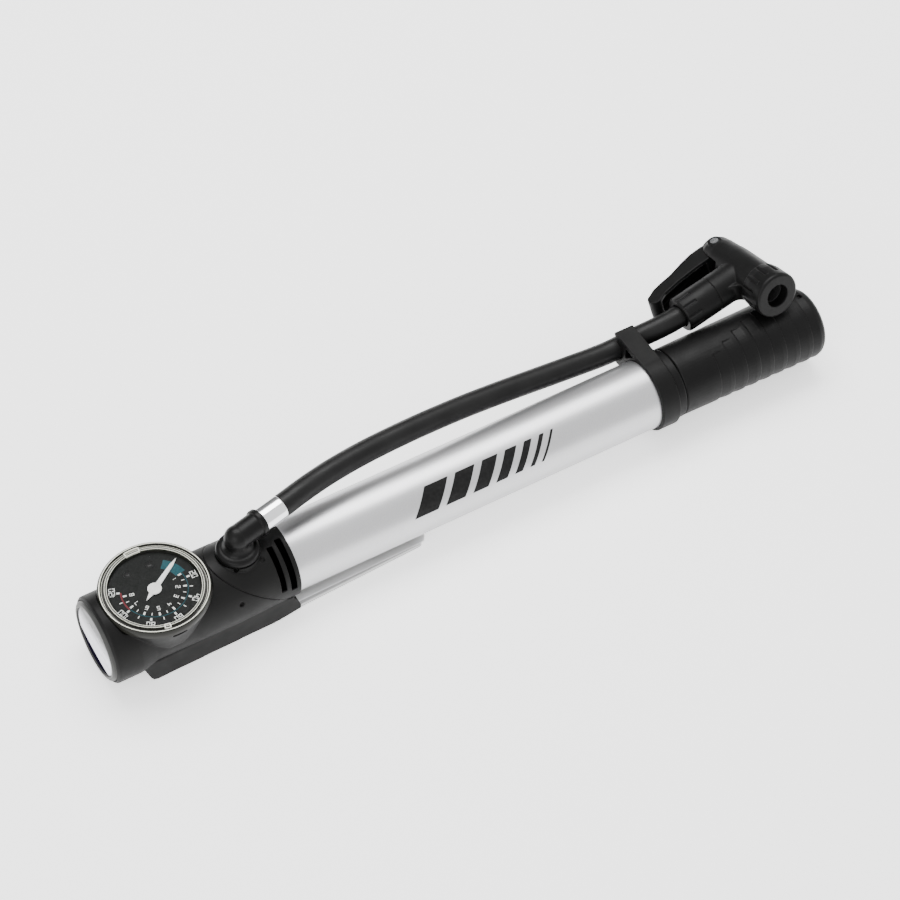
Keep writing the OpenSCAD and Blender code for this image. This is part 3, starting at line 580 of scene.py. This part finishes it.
def make_bright_edges():
    """Painted highlights: light rings along the lens's edges, and light frames round the two catches."""
    bm = bmesh.new()
    top = LENS_TOP_MM
    for radius, height, half in ((LENS_R_MM - 0.75, top - 0.03, 0.16), (LENS_R_MM - 1.42, top - 0.75, 0.08),
                                 (WINDOW_R + 0.86, top - 0.09, 0.09), (WINDOW_R + 0.2, top - 0.12, 0.09)):
        round_edge = [(radius + half * math.cos(TAU * k / 8), height + half * 0.5 * math.sin(TAU * k / 8))
                      for k in range(8)]
        revolve(bm, round_edge, GAUGE, steps=128)
    for middle, half in CATCHES:
        width = half * 0.8
        heights = (top - 0.8, top - 0.02)
        for inner, outer in ((WINDOW_R + 0.05, WINDOW_R + 0.3), (LENS_R_MM - 1.75, LENS_R_MM - 1.5)):
            revolve(bm, box_outline(inner, outer, *heights), GAUGE, middle - width, middle + width, 8)
        for side in (-1, 1):
            edge = middle + side * width
            outline = box_outline(WINDOW_R + 0.05, LENS_R_MM - 1.5, *heights)
            revolve(bm, outline, GAUGE, edge - 0.5, edge + 0.5, 2)
    add_piece("painted_lens_glints", to_mesh(bm, "painted_lens_glints"), lens_highlight_tint, "base")


make_window()
make_rims()
make_bright_edges()


# ---------- dial print ----------

INK_GAP = 0.00001
INK_THICKNESS = 0.00003
INK_LOW = DIAL_TOP + INK_GAP
INK_HIGH = INK_LOW + INK_THICKNESS
INK_MM = (INK_LOW / MM, INK_HIGH / MM)
# Zero of both scales in degrees, counted from +X towards +Y; the scales run clockwise
SCALE_START = 37.5
DEGREES_PER_PSI = 2.0
DEGREES_PER_BAR = 29.0
PSI_TICKS = (11.25, 12.3)
PSI_FIGURES_R = 13.75
BAR_TICKS_FROM = 9.2
BAR_TICK_LONG = 10.4
BAR_TICK_SHORT = 10.2
BAR_FIGURES_R = 7.5
BAND_LOW = 10.65
CYAN_BAND = (-163, 9.5)
CYAN_BLOCK = (10, 50)
RED_BAND = (-203, -163.5)
RIVETS_AT = ((3.0, 9.7), (-5.0, 9.7))
FIGURE_BARS = {
    "0": "abcdef", "1": "bc", "2": "abged", "3": "abgcd", "4": "fgbc",
    "5": "afgcd", "6": "afgecd", "7": "abc", "8": "abcdefg",
}


def figure(bm, mark, origin, across, up, width, height, stroke):
    """One squared figure from straight bars; origin is the middle of its foot."""
    half, mid, gap = width / 2, height / 2, 0.005
    inner = half - stroke - gap
    upper = (mid + stroke / 2 + gap, height - stroke - gap)
    lower = (stroke + gap, mid - stroke / 2 - gap)
    bars = {
        "a": (-half, half, height - stroke, height), "d": (-half, half, 0, stroke),
        "g": (-half, half, mid - stroke / 2, mid + stroke / 2),
        "f": (-half, -inner - gap, *upper), "e": (-half, -inner - gap, *lower),
        "b": (inner + gap, half, *upper), "c": (inner + gap, half, *lower),
    }
    for key in FIGURE_BARS[mark]:
        x0, x1, y0, y1 = bars[key]
        places = ((x0, y0), (x1, y0), (x1, y1), (x0, y1))
        corners = [origin + across * x * MM + up * y * MM for x, y in places]
        slab(bm, [(p.x, p.y) for p in corners], INK_LOW, INK_HIGH)


def number(bm, value, angle, radius, width, height, stroke):
    """A number whose foot points at the dial's centre, read clockwise."""
    turn = math.radians(angle)
    up = Vector((math.cos(turn), math.sin(turn), 0))
    across = Vector((up.y, -up.x, 0))
    marks = str(value)
    pitch = width + stroke
    for i, mark in enumerate(marks):
        offset = (i - (len(marks) - 1) / 2) * pitch
        origin = GAUGE + up * (radius - height / 2) * MM + across * offset * MM
        figure(bm, mark, origin, across, up, width, height, stroke)


def tick(bm, angle, inner, outer, degrees):
    """One scale mark between two radii, as wide as the given angle."""
    revolve(bm, box_outline(inner, outer, *INK_MM), GAUGE, angle - degrees / 2, angle + degrees / 2, 2)


def print_dial():
    """Both scales with their figures; the ticks that the cyan block would cover are left out."""
    white = bmesh.new()
    for psi in range(10, 121, 10):
        angle = SCALE_START - DEGREES_PER_PSI * psi
        major = psi % 20 == 0
        if psi > 10:
            tick(white, angle, *PSI_TICKS, 3.2 if major else 1.4)
        if major:
            number(white, psi, angle, PSI_FIGURES_R, 1.25, 2.1, 0.28)
    for half_bar in range(1, 17):
        angle = SCALE_START - DEGREES_PER_BAR * half_bar / 2
        major = half_bar % 2 == 0
        if half_bar > 1:
            reach = BAR_TICK_LONG if major else BAR_TICK_SHORT
            tick(white, angle, BAR_TICKS_FROM, reach, 3.6 if major else 1.6)
        if major:
            number(white, half_bar // 2, angle, BAR_FIGURES_R, 1.0, 1.6, 0.22)
    add_piece("dial_figures", to_mesh(white, "dial_figures"), ink_white, "base")
    cyan = bmesh.new()
    revolve(cyan, box_outline(BAND_LOW, 10.9, *INK_MM), GAUGE, *CYAN_BAND, 80)
    revolve(cyan, box_outline(8.6, 12.2, *INK_MM), GAUGE, *CYAN_BLOCK, 24)
    add_piece("dial_cyan", to_mesh(cyan, "dial_cyan"), ink_cyan, "base")
    red = bmesh.new()
    revolve(red, box_outline(BAND_LOW, 11.2, *INK_MM), GAUGE, *RED_BAND, 24)
    add_piece("dial_red", to_mesh(red, "dial_red"), ink_red, "base")


def dial_rivets():
    """Two dark rivet heads on the dial."""
    bm = bmesh.new()
    low = DIAL_TOP / MM - 0.02
    head = [(0, low), (1.3, low), (1.3, low + 0.1), (1.0, low + 0.26), (0.5, low + 0.3), (0.35, low + 0.15),
            (0, low + 0.15)]
    for x, y in RIVETS_AT:
        revolve(bm, head, GAUGE + Vector((x, y, 0)) * MM, steps=32)
    add_piece("dial_rivets", to_mesh(bm, "dial_rivets"), rivet_black, "base")


def needle_hub():
    """Domed cap over the needle's arbor."""
    bm = bmesh.new()
    low, high = needle_top / MM - 0.25, needle_top / MM + 0.1
    dome = [(2.3 * math.cos(math.radians(a)), low + 0.12 + (high - low - 0.12) * math.sin(math.radians(a)))
            for a in range(0, 91, 15)]
    revolve(bm, [(0, low), (2.3, low)] + dome, GAUGE, steps=48)
    add_piece("needle_hub", to_mesh(bm, "needle_hub"), needle_white, "needle")


print_dial()
dial_rivets()
needle_hub()


# ---------- decal on the barrel ----------

def barrel_patch(bm, x0, x1, low, high, slant, steps=10):
    """A thin inked patch on the tube between two angles from +Z towards -Y, leaning along X."""
    rings = []
    for radius in (BARREL_R + INK_GAP, BARREL_R + INK_GAP + INK_THICKNESS):
        rows = []
        for i in range(steps + 1):
            share = i / steps
            angle = math.radians(low + (high - low) * share)
            y, z = -radius * math.sin(angle), radius * math.cos(angle)
            rows.append([bm.verts.new((x * MM + slant * (1 - share) * MM, y, z)) for x in (x0, x1)])
        rings.append(rows)
    inner, outer = rings
    for i in range(steps):
        bm.faces.new((outer[i][0], outer[i][1], outer[i + 1][1], outer[i + 1][0]))
        bm.faces.new((inner[i][0], inner[i + 1][0], inner[i + 1][1], inner[i][1]))
        for side in (0, 1):
            bm.faces.new((inner[i][side], outer[i][side], outer[i + 1][side], inner[i + 1][side]))
    for i in (0, steps):
        bm.faces.new((inner[i][0], inner[i][1], outer[i][1], outer[i][0]))


# Start and width of each bar along X, in millimetres
DECAL_BARS = ((112, 9), (124, 7.5), (134.5, 6), (143.5, 4.5), (151, 3), (157, 1.8), (161.5, 1))
DECAL_ANGLES = (25, 67)
DECAL_LEAN = 7


def make_decal():
    """Generic slanted bars in place of the print on the real tube."""
    bm = bmesh.new()
    for start, width in DECAL_BARS:
        barrel_patch(bm, start, start + width, *DECAL_ANGLES, DECAL_LEAN)
    add_piece("barrel_decal", to_mesh(bm, "barrel_decal"), ink_black, "base")


make_decal()


# ---------- hose ----------

# The route repeats the hose's centre line in the CAD, in millimetres
HOSE_ROUTE = [
    (61.6, 2.3, 21), (66, 3.3, 21), (71, 4.5, 20.9), (79, 6.7, 20.6), (88, 9, 20), (96, 10.7, 19.3),
    (104, 12.1, 18.5), (113, 13.4, 17.5), (121, 14.4, 16.5), (129, 15.3, 15.4), (138, 16.2, 14.1),
    (146, 16.9, 12.9), (154, 17.4, 11.7), (162, 17.8, 10.5), (170, 18, 9.4), (178, 18.1, 8.4),
    (186, 18.1, 7.5), (194, 18, 6.8), (202, 17.8, 6.3), (208, 17.65, 6.3), (213.6, 17.45, 7),
    (217.8, 17.1, 8), (222, 16.4, 9.2), (226.2, 15.65, 10.45), (230.4, 15.1, 11.65),
    (234.6, 15.1, 12.55), (239, 15.45, 13.35), (243.2, 15.8, 14.1),
]
HOSE_D = 0.008


def make_hose():
    """Rubber hose on one smooth curve, from the elbow's ferrule to the head's gland."""
    route = [Vector(point) * MM for point in HOSE_ROUTE]
    data = bpy.data.curves.new("hose_line", "CURVE")
    data.dimensions = "3D"
    data.resolution_u = 6
    spline = data.splines.new("BEZIER")
    spline.bezier_points.add(len(route) - 1)
    for knot, place in zip(spline.bezier_points, route):
        knot.co = place
        knot.handle_left_type = knot.handle_right_type = "AUTO"
    data.bevel_depth = HOSE_D / 2
    data.bevel_resolution = 8
    data.use_fill_caps = True
    hose = add_piece("hose_line", data, hose_rubber, "hose", ("hose",))


make_hose()


# ---------- lights and floor ----------

def area_light(name, at, target, size, watts):
    """A soft rectangular lamp aimed at a point."""
    data = bpy.data.lights.new(name, "AREA")
    data.shape = "RECTANGLE"
    data.size, data.size_y = size
    data.energy = watts
    light = bpy.data.objects.new(name, data)
    bpy.context.scene.collection.objects.link(light)
    light.location = at
    light.rotation_euler = (Vector(target) - Vector(at)).to_track_quat("-Z", "Y").to_euler()


FLOOR_HALF_SIDE = 6.0
FLOOR_GLOW = 1.0
SKY_NEAR = 1.35
SKY_BEHIND = 0.25


def make_stage():
    """Pale floor, and a white sky that dims towards +Y so that the tube's top edge reads dark."""
    side = FLOOR_HALF_SIDE
    corners = [(x * side, y * side, FLOOR_Z) for x, y in ((-1, -1), (1, -1), (1, 1), (-1, 1))]
    mesh = bpy.data.meshes.new("floor")
    mesh.from_pydata(corners, [], [(0, 1, 2, 3)])
    floor = bpy.data.objects.new("floor", mesh)
    bpy.context.scene.collection.objects.link(floor)
    t = Tree("floor_paint", Base_Color=(0.9, 0.9, 0.9), Roughness=0.9, Emission_Color=(1, 1, 1, 1),
             Emission_Strength=FLOOR_GLOW)
    dress(floor, t.material)
    world = bpy.data.worlds.new("studio")
    bpy.context.scene.world = world
    world.use_nodes = True
    nodes, links = world.node_tree.nodes, world.node_tree.links
    direction = nodes.new("ShaderNodeTexCoord").outputs["Generated"]
    split = nodes.new("ShaderNodeSeparateXYZ")
    links.new(direction, split.inputs[0])
    behind = nodes.new("ShaderNodeMapRange")
    behind.inputs["From Min"].default_value = 0.35
    behind.inputs["From Max"].default_value = 0.85
    behind.inputs["To Min"].default_value = SKY_NEAR
    behind.inputs["To Max"].default_value = SKY_BEHIND
    links.new(split.outputs[1], behind.inputs["Value"])
    links.new(behind.outputs[0], nodes["Background"].inputs[1])
    nodes["Background"].inputs[0].default_value = (1, 1, 1, 1)


make_stage()
KEY_WATTS = 14
FILL_WATTS = 5
centre = (start_box[0] + start_box[1]) / 2
area_light("key", centre + Vector((0.1, 0.35, 0.9)), centre, (0.9, 0.6), KEY_WATTS)
area_light("fill", centre + Vector((-0.7, -0.5, 0.5)), centre, (0.6, 0.6), FILL_WATTS)
